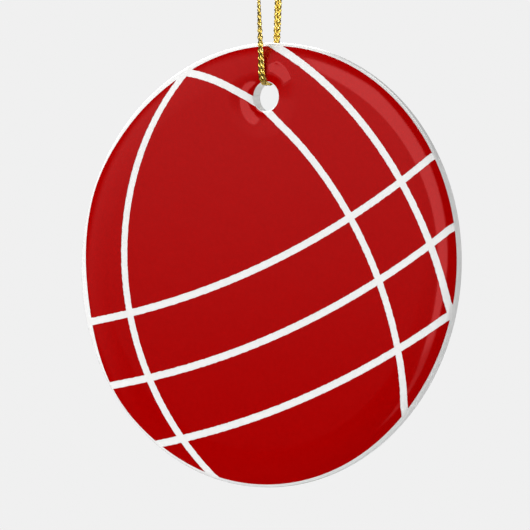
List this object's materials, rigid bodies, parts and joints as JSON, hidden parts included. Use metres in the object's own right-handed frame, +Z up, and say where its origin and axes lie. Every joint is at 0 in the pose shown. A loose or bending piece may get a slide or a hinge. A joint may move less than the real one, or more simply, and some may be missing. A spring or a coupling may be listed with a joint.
{
  "type": "hanging ornament",
  "caption": "Round glazed porcelain hanging disc, printed red with white bands like a lawn game ball, on a knotted gold cord loop that passes through a hole near its rim.",
  "frame": {"origin": "the point at the top of the cord loop where a hook bears", "axes": "+Z up, the front face looks along -Y, +X to the right seen from the front"},
  "size_m": [0.073, 0.0088, 0.132],
  "materials": {
    "porcelain": "clear glossy glaze over white porcelain",
    "red_print": "red print fused under a gloss coat",
    "gold_cord": "metallic gold braid"
  },
  "bodies": {
    "loop_top": {"cord_crown": "gold_cord", "cord_knot": "gold_cord", "cord_tails": "gold_cord"},
    "cord": {"cord_strands": "gold_cord"},
    "disc": {"ceramic_disc": "porcelain", "front_print": "red_print", "back_print": "red_print"}
  },
  "joints": [
    {"name": "loop_twist", "type": "hinge", "parent": "loop_top", "child": "cord", "pos_m": [0, 0, -0.0066], "axis": [0, 0, 1], "range_deg": [-150, 150], "stiffness_Nm_per_rad": 0.0001},
    {"name": "disc_swing", "type": "hinge", "parent": "cord", "child": "disc", "pos_m": [0, 0, -0.0547], "axis": [0, 1, 0], "range_deg": [-90, 90]}
  ]
}
